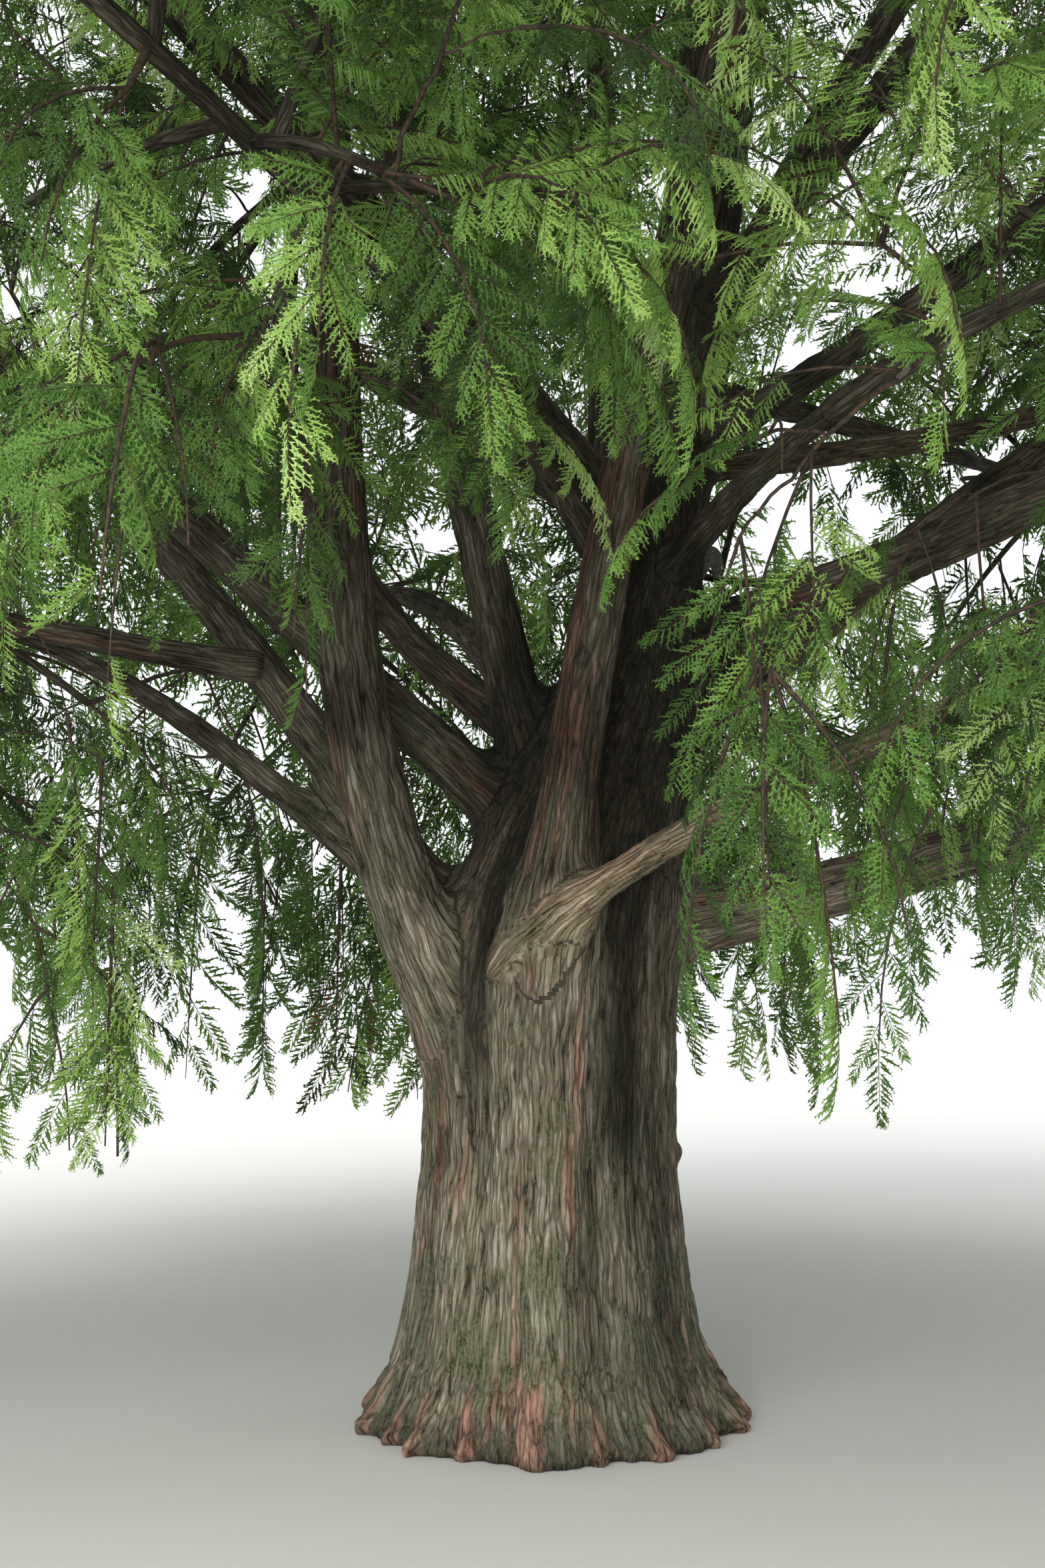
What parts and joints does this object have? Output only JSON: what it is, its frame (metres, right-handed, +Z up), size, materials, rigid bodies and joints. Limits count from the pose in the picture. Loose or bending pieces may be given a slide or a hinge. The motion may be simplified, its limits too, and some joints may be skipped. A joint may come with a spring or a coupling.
{
  "type": "bald cypress tree",
  "caption": "Large open-grown bald cypress, forking low into rising stems and long boughs that carry drooping feathery foliage.",
  "frame": {"origin": "middle of the flat cut under the trunk at ground level", "axes": "+Z up the trunk, -Y towards the side from which the tree was seen, +X to the right of that side"},
  "size_m": [14.9874, 15.2508, 19.8415],
  "materials": {
    "trunk_bark": "fibrous ridged bark",
    "bough_bark": "fibrous flaking bark",
    "foliage": "soft feathery needles"
  },
  "bodies": {
    "root": {"back_bough": "bough_bark", "back_bough_foliage": "foliage", "back_left_bough": "bough_bark", "back_left_bough_foliage": "foliage", "back_left_high_bough": "bough_bark", "back_left_high_bough_foliage": "foliage", "back_right_bough": "bough_bark", "back_right_bough_foliage": "foliage", "back_stem": "bough_bark", "back_stem_foliage": "foliage", "far_back_bough": "bough_bark", "far_back_bough_foliage": "foliage", "far_right_bough": "bough_bark", "far_right_bough_foliage": "foliage", "flat_left_bough": "bough_bark", "flat_left_bough_foliage": "foliage", "front_left_bough": "bough_bark", "front_left_bough_foliage": "foliage", "front_left_stem": "bough_bark", "front_left_stem_foliage": "foliage", "front_right_bough": "bough_bark", "front_right_bough_foliage": "foliage", "front_stem": "bough_bark", "front_stem_foliage": "foliage", "grey_right_bough": "bough_bark", "grey_right_bough_foliage": "foliage", "high_back_foliage": "foliage", "high_front_foliage": "foliage", "high_left_foliage": "foliage", "leader_back_foliage": "foliage", "leader_front_foliage": "foliage", "leader_front_left_foliage": "foliage", "leader_left_foliage": "foliage", "leader_right_foliage": "foliage", "left_bough": "bough_bark", "left_bough_foliage": "foliage", "left_stem": "bough_bark", "left_stem_foliage": "foliage", "long_front_bough": "bough_bark", "long_front_bough_foliage": "foliage", "long_front_left_bough": "bough_bark", "long_front_left_bough_foliage": "foliage", "long_front_right_bough": "bough_bark", "long_front_right_bough_foliage": "foliage", "low_left_bough": "bough_bark", "low_left_bough_foliage": "foliage", "low_right_bough": "bough_bark", "low_right_bough_foliage": "foliage", "pale_right_bough": "bough_bark", "pale_right_bough_foliage": "foliage", "right_bough": "bough_bark", "right_bough_foliage": "foliage", "right_stem": "bough_bark", "right_stem_foliage": "foliage", "top_foliage": "foliage", "trunk": "trunk_bark", "under_left_bough": "bough_bark", "under_left_bough_foliage": "foliage", "upper_right_bough": "bough_bark", "upper_right_bough_foliage": "foliage"}
  },
  "joints": []
}
